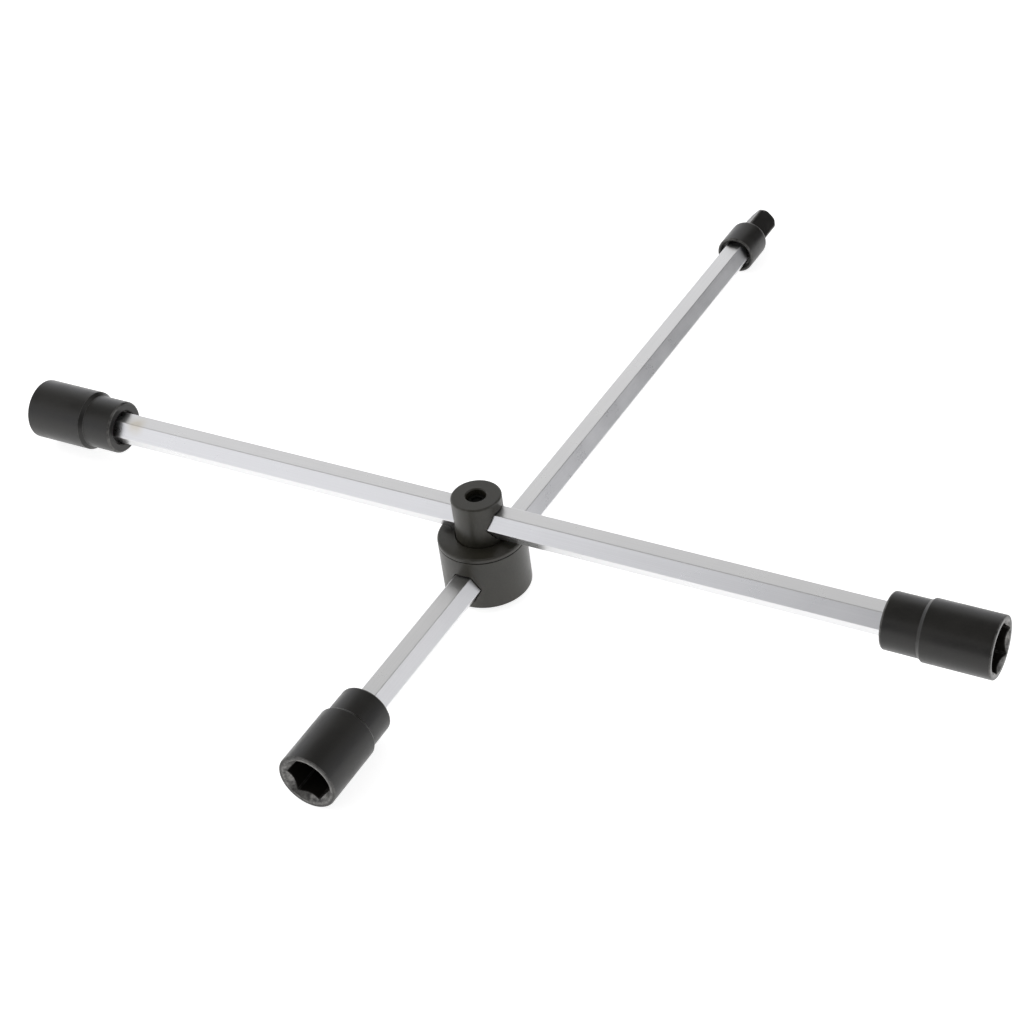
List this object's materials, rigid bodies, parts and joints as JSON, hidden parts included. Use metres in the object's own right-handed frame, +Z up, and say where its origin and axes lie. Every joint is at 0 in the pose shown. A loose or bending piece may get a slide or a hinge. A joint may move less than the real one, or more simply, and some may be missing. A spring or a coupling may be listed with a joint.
{
  "type": "lug wrench",
  "caption": "Folding cross-shaped lug wrench: hexagonal bars slide through a swivelling hub and end in hexagonal sockets and a square drive.",
  "frame": {"origin": "centre of the flat underside of the hub", "axes": "+Z up along the hub's swivel axis, +X along the upper bar towards the socket at its right end, +Y along the lower bar towards the square drive, with the bars crossed at a right angle"},
  "size_m": [0.518, 0.4955, 0.0573],
  "materials": {
    "hub_black": "satin black phosphated steel",
    "socket_black": "satin black phosphated steel with brighter worn edges",
    "bar_steel": "satin plated steel with a lengthwise drawn grain",
    "hardware_steel": "plain bright steel",
    "pad_nylon": "natural nylon"
  },
  "bodies": {
    "hub": {"hub_base": "hub_black", "hub_cover": "hub_black", "thrust_washer": "hardware_steel", "index_ball": "hardware_steel", "index_spring": "hardware_steel", "lower_friction_ball": "hardware_steel"},
    "post": {"pivot_head": "hub_black", "brake_pad": "pad_nylon", "brake_screw": "hub_black", "lower_friction_spring": "hardware_steel"},
    "upper_arm": {"upper_bar": "bar_steel", "right_socket": "socket_black", "left_socket": "socket_black", "right_pin": "hardware_steel", "left_pin": "hardware_steel"},
    "lower_arm": {"lower_bar": "bar_steel", "front_socket": "socket_black", "drive_end": "socket_black", "front_pin": "hardware_steel", "drive_pin": "hardware_steel", "drive_spring": "hardware_steel"},
    "detent_ball": {"drive_ball": "hardware_steel"}
  },
  "joints": [
    {"name": "pivot_fold", "type": "hinge", "parent": "hub", "child": "post", "pos_m": [0, 0, 0.025], "axis": [0, 0, 1], "range_deg": [-90, 90]},
    {"name": "upper_bar_slide", "type": "slide", "parent": "post", "child": "upper_arm", "axis": [1, 0, 0], "range_m": [-0.183, 0.188]},
    {"name": "lower_bar_slide", "type": "slide", "parent": "hub", "child": "lower_arm", "axis": [0, 1, 0], "range_m": [-0.23, 0.035]},
    {"name": "drive_ball_press", "type": "slide", "parent": "lower_arm", "child": "detent_ball", "axis": [-0.7071, 0, 0.7071], "range_m": [0, 0.0009], "stiffness_N_per_m": 500, "springref_m": -0.002}
  ]
}
